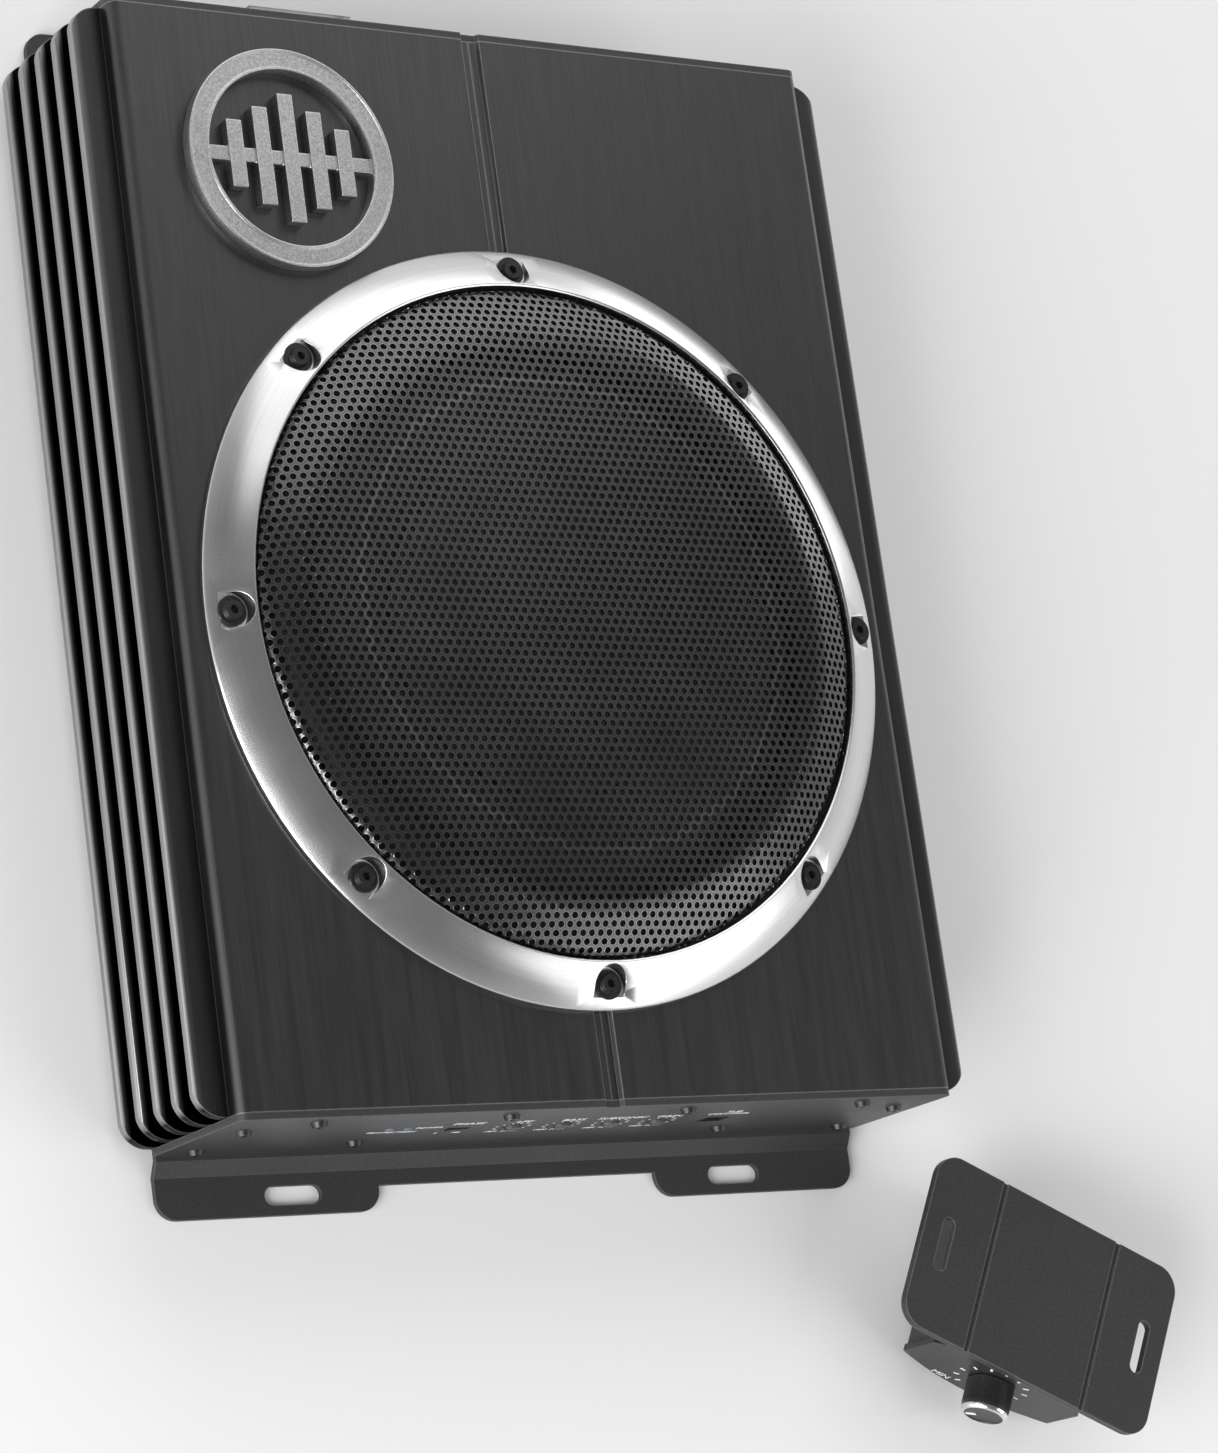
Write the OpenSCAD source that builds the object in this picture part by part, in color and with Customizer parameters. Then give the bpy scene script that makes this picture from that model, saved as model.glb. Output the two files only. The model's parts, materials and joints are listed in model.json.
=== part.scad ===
// Powered under-seat car subwoofer with a wired level remote. Millimetres, +Z up.
// The origin is on the floor plane, at the centre of the four floor slots.

/* [Case] */
// Height of the top face above the floor
face_z = 66; // [66:0.5:70]
// Length of the aluminium extrusions
case_len = 375; // [370:1:390]
// Half width of the raised face
face_half = 140.5; // [140:0.5:146]
// How far the cooling fins stand out beside the face
fin_out = 11.5; // [8:0.5:14]
// Distance between cooling fins
fin_pitch = 12.5; // [12.4:0.05:12.6]
// Thickness of a fin
fin_t = 3.5; // [3:0.1:4]
// Height of the underside of the case above the floor
case_bottom = 5; // [5:0.1:5.2]
// Radius of the rounded long edge of the face
edge_r = 4; // [2:0.5:4]

/* [Driver] */
// Radius of the screw circle of the trim ring
screw_circle_r = 125; // [124.5:0.1:125.5]
// Outer radius of the trim ring
ring_r = 133.2; // [132.6:0.1:134]
// Inner radius of the trim ring
ring_in_r = 117.8; // [117.6:0.1:118]
// Outer radius of the surround's roll
roll_out_r = 110; // [109.6:0.1:110]
// Radius of the dust cap
dust_cap_r = 58; // [50:1:60]

/* [Floor mounting] */
// Distance across the car between slot centres
slot_dx = 177; // [170:1:185]
// Distance along the unit between slot centres
slot_dy = 400; // [398:1:404]
// End-to-end length of a slot
slot_len = 21.4; // [18:0.2:24]
// Width of a slot
slot_w = 6.4; // [6:0.2:7]

/* [Remote] */
// Width of the remote's mounting plate
plate_w = 110; // [104:1:120]
// Depth of the remote's mounting plate
plate_d = 65; // [63:1:70]
// Width of the remote's front panel
remote_w = 66; // [64:1:70]
// Height of the remote's front panel
remote_h = 33; // [32:0.5:36]

/* [Hidden] */
$fn = 96;

front_y = -183.5;                    // control end of the extrusions
rear_y = front_y + case_len;         // terminal end of the extrusions
driver_y = -21;                      // centre of the driver
step_z = face_z - 7.5;               // foot of the raised face's side wall
wall_out = face_half - 6;            // bottom of the grooves between fins
wall_in = wall_out - 3.5;            // inside of the side wall
plate_z = face_z - 4;                // underside of the face plate
seam_depth = 1.6;                    // channel along the joint between the two halves
panel_t = 2.5;
sheet_t = 2;                         // bracket sheet
cover_t = 1.5;
lip_z = case_bottom + cover_t;       // underside of the lips that the cover screws into
screw_hole_r = 118;                  // driver cut-out
screw_top_x = [-107.5, -35, 35, 107.5];
screw_top_z = face_z - 9;
side_screw_x = 129;
side_screw_z = [13, 46];
tab_x = 73;
tab_z = 19;
cover_screw_y = [-150, -50, 50, 150];
bracket_screw_x = [-105, -35, 35, 105];
control_z = face_z - 30;
flange_z = face_z + 1;               // underside of the driver's flange
pot_x = [-22, -2.5, 17, 36];
phase_x = -43;
jack_x = 60;
lamp_x = [-71, -64];
block_x = [-80, -40];                // terminal block's span
block_z = [face_z - 34, face_z - 12];
block_end = rear_y + panel_t + 4;    // outer face of the terminal block
cover_end = rear_y + panel_t + 7;    // outer face of its clear cover
rca_x = [26, 42, 58];
rca_z = [27];
travel = 4;                          // cone travel each way
remote_at = [190, -254];
remote_turn = -27;
knob_z = 16.5;                       // height of the remote's knob above the floor
remote_half_w = remote_w / 2;

function terminal_x(i) = block_x[0] + 6.65 + i * 8.9;
function arc(cx, cy, r, a0, a1, n = 8) =
    [for (i = [0:n]) [cx + r * cos(a0 + (a1 - a0) * i / n), cy + r * sin(a0 + (a1 - a0) * i / n)]];

// ---- shared shapes ----
module rounded_plan(w, l, r, h) {
    translate([-w / 2 + r, -l / 2, 0]) cube([w - 2 * r, l, h]);
    translate([-w / 2, -l / 2 + r, 0]) cube([w, l - 2 * r, h]);
    for (x = [-1, 1], y = [-1, 1])
        translate([x * (w / 2 - r), y * (l / 2 - r), 0]) cylinder(r = r, h = h);
}
module tube(r_out, r_in, h) {
    difference() {
        cylinder(r = r_out, h = h);
        translate([0, 0, -1]) cylinder(r = r_in, h = h + 2);
    }
}
module along_y(x, z, y0, y1, r) {
    translate([x, y1, z]) rotate([90, 0, 0]) cylinder(r = r, h = y1 - y0, $fn = 48);
}
module slot_cut(len, w, h) {
    translate([-(len - w) / 2, -w / 2, 0]) cube([len - w, w, h]);
    for (x = [-1, 1]) translate([x * (len - w) / 2, 0, 0]) cylinder(d = w, h = h, $fn = 48);
}
module pan_screw_up(x, y, z, head_r, head_h, shank_r, shank_l) {
    // head below, shank pointing up
    translate([x, y, z]) difference() {
        union() {
            translate([0, 0, -head_h]) cylinder(r = head_r, h = head_h, $fn = 48);
            cylinder(r = shank_r, h = shank_l, $fn = 48);
        }
        translate([0, 0, -head_h - 0.1]) cylinder(r = head_r * 0.4, h = head_h * 0.6, $fn = 6);
    }
}
module end_screw(x, z, y, dir) {
    // pan head outside an end panel, shank into the case; dir is -1 at the control end
    translate([x, y, z]) rotate([dir < 0 ? 90 : -90, 0, 0]) difference() {
        union() {
            cylinder(r1 = 2.9, r2 = 2.3, h = 1.7, $fn = 48);
            translate([0, 0, -9]) cylinder(r = 1.45, h = 9.1, $fn = 48);
        }
        translate([0, 0, 0.8]) cylinder(r = 1.2, h = 2, $fn = 6);
    }
}

// ---- case ----
function fin(k) = let (t = step_z - k * fin_pitch, o = face_half + fin_out) concat(
    [[wall_out, t]], arc(o - 1.6, t - 1.6, 1.6, 90, 0, 4), arc(o - 0.6, t - fin_t + 0.6, 0.6, 0, -90, 3),
    [[wall_out, t - fin_t]]);
function case_outline() = concat(
    [[0.1, plate_z], [0.1, face_z - seam_depth], [2.8, face_z - seam_depth], [3.6, face_z]],
    arc(face_half - edge_r, face_z - edge_r, edge_r, 90, 0, 8), [[face_half, step_z - 0.1]],
    [for (i = [0:4]) for (p = fin(i)) if (!(i == 0 && p[0] == wall_out && p[1] == step_z)) p],
    [[wall_out, case_bottom], [wall_in, case_bottom], [wall_in, lip_z], [wall_in - 12, lip_z],
     [wall_in - 12, lip_z + 3.5], [wall_in, lip_z + 3.5], [wall_in, plate_z]]);
module case_half() {
    difference() {
        union() {
            intersection() {
                translate([0, rear_y, 0]) rotate([90, 0, 0])
                    linear_extrude(case_len) polygon(case_outline());
                translate([0, (front_y + rear_y) / 2, 0])
                    rounded_plan(2 * (face_half + fin_out), case_len, 10, face_z + 1);
            }
            for (x = [screw_top_x[2], screw_top_x[3]])
                translate([x - 4, front_y, screw_top_z - 4]) cube([8, case_len, plate_z - screw_top_z + 4]);
            for (z = side_screw_z)
                translate([side_screw_x - 4, front_y, z - 4]) cube([6, case_len, 8]);
        }
        translate([0, driver_y, plate_z - 20]) cylinder(r = screw_hole_r, h = 30, $fn = 180);
        for (a = [-90:45:90]) translate([screw_circle_r * cos(a), driver_y + screw_circle_r * sin(a),
            plate_z - 1]) cylinder(r = 2.1, h = 6, $fn = 48);
        for (x = [screw_top_x[2], screw_top_x[3]]) {
            along_y(x, screw_top_z, front_y - 1, front_y + 12, 1.5);
            along_y(x, screw_top_z, rear_y - 12, rear_y + 1, 1.5);
        }
        for (z = side_screw_z) {
            along_y(side_screw_x, z, front_y - 1, front_y + 12, 1.5);
            along_y(side_screw_x, z, rear_y - 12, rear_y + 1, 1.5);
        }
        for (y = cover_screw_y) translate([wall_in - 6, y, lip_z - 1]) cylinder(r = 1.5, h = 6, $fn = 48);
    }
}
module case_left() color([0.09, 0.09, 0.10]) mirror([1, 0, 0]) case_half();
module case_right() color([0.09, 0.09, 0.10]) case_half();
module centre_joiner() color("silver") difference() {
    for (s = [[front_y + 14, driver_y - screw_hole_r - 1], [driver_y + screw_hole_r + 1, rear_y - 14]])
        translate([-14, s[0], plate_z - 4]) cube([28, s[1] - s[0], 4]);
    for (a = [-90, 90]) translate([0, driver_y + a / 90 * screw_circle_r, plate_z - 5])
        cylinder(r = 2.1, h = 6, $fn = 48);
}
module bottom_cover() color([0.16, 0.16, 0.17]) difference() {
    union() {
        translate([-wall_in + 0.2, front_y + 0.2, case_bottom])
            cube([2 * wall_in - 0.4, case_len - 0.4, cover_t]);
        for (x = [-1, 1], y = [front_y + 0.2, rear_y - 2.2])
            translate([x * tab_x - 9, y, case_bottom]) cube([18, 2, 20]);
    }
    for (x = [-1, 1], y = cover_screw_y) translate([x * (wall_in - 6), y, 0]) cylinder(r = 1.7, h = 20);
    for (x = bracket_screw_x, y = [front_y + 14, rear_y - 14]) translate([x, y, 0]) cylinder(r = 2.1, h = 20);
    for (x = [-tab_x, tab_x]) along_y(x, tab_z, front_y - 5, rear_y + 5, 1.5);
}
module panel_blank(y0) {
    difference() {
        translate([0, y0 + panel_t, 0]) rotate([90, 0, 0]) linear_extrude(panel_t) polygon(concat(
            [[-face_half, case_bottom], [face_half, case_bottom]],
            arc(face_half - edge_r, face_z - edge_r, edge_r, 0, 90, 8), [[3.7, face_z]],
            [[2.8, face_z - seam_depth], [-2.8, face_z - seam_depth], [-3.7, face_z]],
            arc(-face_half + edge_r, face_z - edge_r, edge_r, 90, 180, 8)));
        for (x = screw_top_x) along_y(x, screw_top_z, y0 - 1, y0 + 4, 1.6);
        for (x = [-1, 1], z = side_screw_z) along_y(x * side_screw_x, z, y0 - 1, y0 + 4, 1.6);
        for (x = [-1, 1]) along_y(x * tab_x, tab_z, y0 - 1, y0 + 4, 1.6);
    }
}
module control_end_panel() color([0.13, 0.13, 0.14]) difference() {
    panel_blank(front_y - panel_t);
    for (x = pot_x) along_y(x, control_z, front_y - 4, front_y + 1, 3.4);
    for (x = lamp_x) along_y(x, control_z + 3, front_y - 4, front_y + 1, 1.6);
    translate([phase_x - 5, front_y - 4, control_z - 2]) cube([10, 6, 4]);
    translate([jack_x - 6.2, front_y - 4, control_z - 6]) cube([12.4, 6, 10.4]);
}
module terminal_end_panel() color([0.13, 0.13, 0.14]) difference() {
    panel_blank(rear_y);
    translate([block_x[0] + 1.2, rear_y - 1, block_z[0] + 1.2])
        cube([block_x[1] - block_x[0] - 2.4, 5, block_z[1] - block_z[0] - 2.4]);
    translate([-22.3, rear_y - 1, 33.7]) cube([30.6, 5, 16.6]);
    for (x = rca_x, z = rca_z) along_y(x, z, rear_y - 1, rear_y + 4, 4.6);
    translate([70 - 0.2, rear_y - 1, 34.8]) cube([22.4, 5, 11.4]);
}
module bracket() {
    // drawn for the control end, with the two floor slots cut through it
    difference() {
        children();
        for (x = [-1, 1]) translate([x * slot_dx / 2, -slot_dy / 2, -1]) slot_cut(slot_len, slot_w, 6);
    }
}
module bracket_body(case_end, bend) {
    // case_end is the end of the extrusions, bend is where the sheet starts down to the floor
    edge = slot_dy / 2 + 6.6;
    difference() {
        union() {
            intersection() {
                translate([-139.5, -edge, 0]) cube([279, edge - bend - 5, sheet_t]);
                union() {
                    translate([-139.5, -edge + 8.6, 0]) cube([279, 20, sheet_t]);
                    for (s = [-1, 1]) translate([s * 97.5, -edge + 11, 0]) rounded_plan(84, 22, 7.5, sheet_t);
                }
            }
            translate([-139.5, 0, 0]) rotate([90, 0, 90]) linear_extrude(279) polygon([
                [-bend - 5, 0], [-bend, case_bottom - sheet_t], [-case_end + 26, case_bottom - sheet_t],
                [-case_end + 26, case_bottom], [-bend - 0.7, case_bottom], [-bend - 5.7, sheet_t],
                [-bend - 6, sheet_t], [-bend - 6, 0]]);
        }
        for (x = bracket_screw_x) translate([x, -case_end + 14, 0]) cylinder(r = 2.1, h = 10);
    }
}
module control_end_bracket() color([0.11, 0.11, 0.12]) bracket() bracket_body(-front_y, -front_y + panel_t + 1);
module terminal_end_bracket() color([0.11, 0.11, 0.12])
    mirror([0, 1, 0]) bracket() bracket_body(rear_y, rear_y - 7);

// ---- driver ----
module trim_ring() color([0.72, 0.72, 0.73]) translate([0, driver_y, face_z]) difference() {
    rotate_extrude($fn = 180) polygon([[ring_r, 0.1], [ring_r, 2.2], [ring_r - 0.6, 2.8],
        [ring_in_r + 0.8, 10.6], [ring_in_r, 10.2], [ring_in_r, 4.2], [123, 4.2], [123, 3.2],
        [129.6, 3.2], [129.6, 0.1]]);
    for (a = [0:45:315]) rotate([0, 0, a]) {
        translate([screw_circle_r, 0, 4.6]) cylinder(d = 12, h = 10, $fn = 48);
        translate([screw_circle_r, -6, 4.6]) cube([12, 12, 10]);
        translate([screw_circle_r, 0, 0]) cylinder(r = 2.2, h = 10, $fn = 48);
    }
}
module grille() color([0.10, 0.10, 0.11]) translate([0, driver_y, face_z]) rotate_extrude($fn = 180)
    polygon([[122.5, 3.1], [122.5, 4.1], [116.9, 4.1], [116.9, 9.2], [115.8, 10.4], [102.5, 15.2],
        [98, 16], [0, 16.6], [0, 15.6], [98, 15], [102, 14.2], [115.2, 9.5], [115.9, 8.8], [115.9, 3.1]]);
module badge() color([0.75, 0.75, 0.76]) translate([-80.5, 139, face_z]) {
    tube(39, 31.5, 4.3);
    tube(39, 38, 4.9);
    tube(32.5, 31.5, 4.9);
    translate([-32, -2.5, 0]) cube([64, 5, 3.4]);
    for (i = [-2:2]) let (h = 46 - 11 * abs(i)) translate([i * 10.4 - 2.9, -h / 2, 0]) cube([5.8, h, 4.2]);
}
module ring_screws() color([0.08, 0.08, 0.08]) for (a = [0:45:315])
    translate([screw_circle_r * cos(a), driver_y + screw_circle_r * sin(a), face_z + 4.6])
        rotate([0, 0, a]) difference() {
            union() {
                cylinder(r = 5.1, h = 0.9, $fn = 48);
                cylinder(r1 = 3.9, r2 = 3.1, h = 2.6, $fn = 48);
                translate([0, 0, -12]) cylinder(r = 2, h = 12.1, $fn = 48);
            }
            translate([0, 0, 1]) cylinder(r = 1.6, h = 2, $fn = 6);
        }
module frame_gasket() color([0.05, 0.05, 0.05]) translate([0, driver_y, face_z]) difference() {
    tube(129, screw_hole_r + 0.2, 1);
    for (a = [0:45:315]) rotate([0, 0, a]) translate([screw_circle_r, 0, -1]) cylinder(r = 2.4, h = 4, $fn = 48);
}
module woofer_basket() color([0.15, 0.15, 0.16]) translate([0, driver_y, 0]) difference() {
    rotate_extrude($fn = 144) polygon([[129, flange_z], [129, flange_z + 2], [110.2, flange_z + 2],
        [110.2, flange_z], [107.5, 63], [66, 41], [60.5, 41], [60.5, 39], [58, 35], [33, 35], [33, 32.5],
        [60, 32.5], [64.5, 38.2], [66.5, 38.2], [110, 61], [113, flange_z]]);
    for (a = [0:45:315]) rotate([0, 0, a]) translate([screw_circle_r, 0, 60]) cylinder(r = 2.4, h = 12, $fn = 48);
    for (a = [30:60:330]) rotate([0, 0, a]) translate([70, -19, 34]) cube([34, 38, 29.5]);
}
module surround() color([0.06, 0.06, 0.06]) translate([0, driver_y, face_z + 3.1])
    rotate_extrude($fn = 120) polygon(concat(
        [[88.5, 0], [88.5, 1], [94.4, 1]],
        [for (i = [1:11]) [102.2 - 7.8 * cos(i * 15), 1 + 6.5 * sin(i * 15)]],
        [[roll_out_r, 1], [113.6, 1], [113.6, 0], [roll_out_r - 0.8, 0]],
        [for (i = [1:11]) [102.2 + 6.8 * cos(i * 15), 5.6 * sin(i * 15)]], [[95.3, 0]]));
module cone() color([0.12, 0.12, 0.13]) translate([0, driver_y, 0]) rotate_extrude($fn = 120)
    polygon([[27.3, 42.6], [27.3, 45], [87.5, 69], [93.8, 69], [93.8, 68], [88, 68], [28.4, 42.6]]);
module dust_cap() color([0.10, 0.10, 0.11]) translate([0, driver_y, 0]) rotate_extrude($fn = 120)
    polygon(concat([[dust_cap_r, 57.5]],
        [for (i = [0:12]) let (t = i / 12) [dust_cap_r * (1 - t), 58.3 + 9.8 * (1 - (1 - t) * (1 - t))]],
        [for (i = [12:-1:0]) let (t = i / 12) [(dust_cap_r - 1) * (1 - t), 57.5 + 9.6 * (1 - (1 - t) * (1 - t))]]));
module voice_coil() translate([0, driver_y, 0]) {
    color("peru") translate([0, 0, 22]) tube(28.2, 26.4, 12);
    color([0.8, 0.75, 0.6]) translate([0, 0, 34]) tube(27.1, 26.4, 12);
}
module spider() color([0.75, 0.6, 0.25]) translate([0, driver_y, 41.1]) rotate_extrude($fn = 96)
    polygon(concat([for (i = [0:24]) [27.5 + 38 * i / 24, 0.8 + (i > 1 && i < 20 ? 1.2 * (1 - cos(i * 90)) / 2 : 0)]],
        [for (i = [24:-1:0]) [27.5 + 38 * i / 24, (i > 1 && i < 20 ? 1.2 * (1 - cos(i * 90)) / 2 : 0)]]));
module top_plate() color("silver") translate([0, driver_y, 27.5]) tube(50, 29, 5);
module magnet() color([0.25, 0.25, 0.26]) translate([0, driver_y, 13.5]) tube(55, 32, 14);
module yoke() color("silver") translate([0, driver_y, 8.5]) difference() {
    union() {
        cylinder(r = 50, h = 5);
        cylinder(r = 25.4, h = 24);
    }
    translate([0, 0, -1]) cylinder(r = 8, h = 30);
}

// ---- amplifier ----
board_z = 16;
board_y = [100, 184];
module amplifier_board() color([0.05, 0.25, 0.12]) difference() {
    translate([-112, board_y[0], board_z]) cube([224, board_y[1] - board_y[0], 1.6]);
    for (x = [-100, 0, 100], y = [106, 172]) translate([x, y, board_z - 1]) cylinder(r = 1.6, h = 4);
}
module board_standoffs() color("silver") for (x = [-100, 0, 100], y = [106, 172]) translate([x, y, lip_z])
    cylinder(r = 3, h = board_z - lip_z, $fn = 6);
module capacitors() color([0.1, 0.1, 0.25]) for (p = [[-30, 118, 9, 34], [-8, 118, 9, 34], [14, 118, 9, 34],
    [36, 118, 9, 34], [56, 150, 6.3, 24], [72, 150, 6.3, 24], [-60, 122, 5, 18], [-74, 122, 5, 18]])
    translate([p[0], p[1], board_z + 1.6]) cylinder(r = p[2], h = p[3], $fn = 64);
module chokes() color([0.55, 0.3, 0.1]) for (x = [-10, 24]) translate([x, 150, board_z + 1.6 + 5.2])
    rotate_extrude($fn = 64) translate([10, 0]) circle(r = 5.2, $fn = 32);
module power_transistors() color([0.12, 0.12, 0.12]) for (s = [-1, 1], y = [108:14:164])
    translate([s * 117.8 - 2.2, y, board_z + 5]) cube([4.4, 10, 16]);
module transistor_clamps() color("silver") for (s = [-1, 1])
    translate([s * 114 - 1.5, 104, board_z + 10]) cube([3, 74, 8]);
module heat_spreaders() color([0.7, 0.7, 0.72]) for (s = [-1, 1])
    translate([s * 122.5 - 2.4, 102, board_z - 2]) cube([4.8, 78, 26]);
module terminal_block() color([0.06, 0.06, 0.06]) difference() {
    translate([block_x[0] + 1.5, rear_y - 16, block_z[0] + 1.5])
        cube([block_x[1] - block_x[0] - 3, block_end - rear_y + 16, block_z[1] - block_z[0] - 3]);
    for (i = [0:3]) {
        translate([block_x[0] + 2.6 + i * 8.9, rear_y - 5, block_z[0] + 3]) cube([8.1, 20, 14]);
        translate([terminal_x(i), rear_y - 10, block_z[0] + 9.5]) rotate([-90, 0, 0])
            cylinder(r = 2.05, h = 8, $fn = 48);
    }
}
module terminal_cover() color([0.85, 0.9, 0.95, 0.4]) difference() {
    translate([block_x[0], rear_y + panel_t + 0.1, block_z[0]])
        cube([block_x[1] - block_x[0], cover_end - rear_y - panel_t - 0.1, block_z[1] - block_z[0]]);
    translate([block_x[0] + 1.3, rear_y, block_z[0] + 1.3])
        cube([block_x[1] - block_x[0] - 2.6, block_end - rear_y + 0.3, block_z[1] - block_z[0] - 2.6]);
}
module terminal_screws() color("gold") for (i = [0:3])
    translate([terminal_x(i), rear_y - 5, block_z[0] + 9.5]) rotate([-90, 0, 0]) difference() {
        union() {
            cylinder(r = 3.6, h = 4, $fn = 48);
            translate([0, 0, -3.8]) cylinder(r = 2, h = 4, $fn = 48);
        }
        translate([-4, -0.5, 2.8]) cube([8, 1, 3]);
    }
module fuse_holder() color([0.08, 0.08, 0.09]) difference() {
    translate([-22, rear_y - 14, 34]) cube([30, 17.5, 16]);
    for (x = [-20, -5]) translate([x, rear_y - 10, 39]) cube([11.5, 16, 5.6]);
}
module fuses() color([0.9, 0.5, 0.1]) for (x = [-19.8, -4.8]) translate([x, rear_y - 9.8, 39.2])
    cube([11.1, 16, 5.2]);
module rca_jacks() for (x = rca_x, z = rca_z) {
    color([0.08, 0.08, 0.08]) translate([x, rear_y + 1, z]) rotate([90, 0, 0]) cylinder(r = 4.4, h = 14, $fn = 48);
    color("gold") translate([x, rear_y + 7, z]) rotate([90, 0, 0]) tube(4.1, 1.8, 6);
}
module high_level_socket() color([0.85, 0.85, 0.8]) difference() {
    translate([70, rear_y - 12, 35]) cube([22, 16, 11]);
    translate([71.5, rear_y - 6, 36.5]) cube([19, 12, 8]);
}

// ---- controls ----
module control_board() color([0.05, 0.25, 0.12]) translate([-78, front_y + 2, control_z - 8])
    cube([150, 26, 1.6]);
module pot_bodies() color([0.2, 0.35, 0.6]) for (x = pot_x) difference() {
    translate([x - 4.8, front_y + 2, control_z - 6.4]) cube([9.6, 10, 11.6]);
    along_y(x, control_z, front_y, front_y + 9, 3.05);
}
module pot_shaft(x) {
    difference() {
        along_y(x, control_z, front_y - panel_t - 1, front_y + 8, 3);
        translate([x - 3.5, front_y - panel_t - 2, control_z - 0.5]) cube([7, 2, 1]);
    }
}
module lowpass_pot() color([0.2, 0.2, 0.2]) pot_shaft(pot_x[0]);
module bass_boost_pot() color([0.2, 0.2, 0.2]) pot_shaft(pot_x[1]);
module subsonic_pot() color([0.2, 0.2, 0.2]) pot_shaft(pot_x[2]);
module gain_pot() color([0.2, 0.2, 0.2]) pot_shaft(pot_x[3]);
module phase_switch_body() color("silver") difference() {
    translate([phase_x - 8, front_y + 1, control_z - 6.4]) cube([16, 8, 10]);
    translate([phase_x - 5, front_y, control_z - 1.8]) cube([10, 5, 3.6]);
}
module phase_slider() color([0.1, 0.1, 0.1])
    translate([phase_x - 4.5, front_y - panel_t - 0.6, control_z - 1.4]) cube([4.6, 7.5, 2.8]);
module remote_jack() color([0.1, 0.1, 0.1]) difference() {
    translate([jack_x - 6, front_y - panel_t, control_z - 5.8]) cube([12, 17, 10]);
    translate([jack_x - 4.6, front_y - panel_t - 1, control_z - 4.4]) cube([9.2, 13, 7]);
}
module indicator_lenses() color([0.3, 0.6, 0.9]) for (x = lamp_x) {
    along_y(x, control_z + 3, front_y - panel_t - 0.4, front_y + 5, 1.5);
}
module control_panel_screws() color([0.2, 0.2, 0.2]) {
    for (x = screw_top_x) end_screw(x, screw_top_z, front_y - panel_t, -1);
    for (x = [-1, 1], z = side_screw_z) end_screw(x * side_screw_x, z, front_y - panel_t, -1);
    for (x = [-1, 1]) end_screw(x * tab_x, tab_z, front_y - panel_t, -1);
}
module terminal_panel_screws() color([0.2, 0.2, 0.2]) {
    for (x = screw_top_x) end_screw(x, screw_top_z, rear_y + panel_t, 1);
    for (x = [-1, 1], z = side_screw_z) end_screw(x * side_screw_x, z, rear_y + panel_t, 1);
    for (x = [-1, 1]) end_screw(x * tab_x, tab_z, rear_y + panel_t, 1);
}
module bracket_screws() color("silver") for (x = bracket_screw_x, y = [front_y + 14, rear_y - 14])
    pan_screw_up(x, y, case_bottom - sheet_t, 3.8, 1.8, 2, 7);
module cover_screws() color("silver") for (x = [-1, 1], y = cover_screw_y)
    pan_screw_up(x * (wall_in - 6), y, case_bottom, 2.8, 1.6, 1.45, 4.4);

// ---- remote ----
module at_remote() translate([remote_at[0], remote_at[1], 0]) rotate([0, 0, remote_turn]) children();
front_local = -plate_d / 2 + 2;      // front of the remote's front panel
function remote_section(inset, drop) = let (w = remote_half_w - inset, h = remote_h - drop, c = 7) concat(
    [[-w, h - c], [-w, 7]], [for (i = [1:11]) let (x = -w + 2 * w * i / 12) [x, inset * 0.5 + 7 * x * x / (w * w)]],
    [[w, 7], [w, h - c], [w - c * 1.3, h], [-w + c * 1.3, h]]);
module remote_extrude(y0, y1) translate([0, y1, 0]) rotate([90, 0, 0]) linear_extrude(y1 - y0) children();
module remote_housing() color([0.14, 0.14, 0.15]) at_remote() difference() {
    remote_extrude(front_local + 2.5, plate_d / 2) polygon(remote_section(1.2, 0));
    remote_extrude(front_local + 1, plate_d / 2 - 2) polygon(remote_section(3.4, 2.2));
    translate([-6, plate_d / 2 - 3, 9]) cube([12, 6, 9]);
    for (x = [-17, 17], y = [-18, 18]) translate([x, y, remote_h - 4]) cylinder(r = 1.6, h = 8, $fn = 48);
}
module remote_front_panel() color([0.12, 0.12, 0.13]) at_remote() difference() {
    remote_extrude(front_local, front_local + 2.5) polygon(remote_section(0, 0.4));
    translate([0, front_local + 3, knob_z]) rotate([90, 0, 0]) cylinder(r = 3.55, h = 4, $fn = 48);
}
module remote_plate() color([0.17, 0.17, 0.18]) at_remote() difference() {
    translate([0, 0, remote_h]) rounded_plan(plate_w, plate_d, 9, 3);
    for (x = [-1, 1]) {
        translate([x * 45, 0, remote_h - 1]) rotate([0, 0, 90]) slot_cut(20, 5.2, 6);
        translate([x * 26 - 1, -plate_d, remote_h + 2.2]) cube([2, 2 * plate_d, 2]);
    }
    for (x = [-17, 17], y = [-18, 18]) translate([x, y, remote_h - 1]) cylinder(r = 1.6, h = 3.2, $fn = 48);
}
module remote_knob() color([0.1, 0.1, 0.1]) at_remote() translate([0, front_local - 0.5, knob_z])
    rotate([90, 0, 0]) difference() {
        union() {
            cylinder(r = 8.6, h = 11, $fn = 96);
            translate([0, 0, 11]) cylinder(r1 = 8.6, r2 = 7.9, h = 1.2, $fn = 96);
        }
        translate([0, 0, -1]) cylinder(r = 3.05, h = 9, $fn = 48);
    }
module remote_potentiometer() color("silver") at_remote() translate([0, front_local, knob_z]) {
    translate([0, 9, 0]) rotate([90, 0, 0]) cylinder(r = 7.5, h = 6.4, $fn = 64);
    translate([0, 2.7, 0]) rotate([90, 0, 0]) cylinder(r = 3.5, h = 3, $fn = 48);
    translate([0, -0.2, 0]) rotate([90, 0, 0]) cylinder(r = 3, h = 7, $fn = 48);
}
module remote_board() color([0.05, 0.25, 0.12]) at_remote() translate([-20, front_local + 9.1, 8])
    cube([40, 1.6, 18]);
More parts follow.
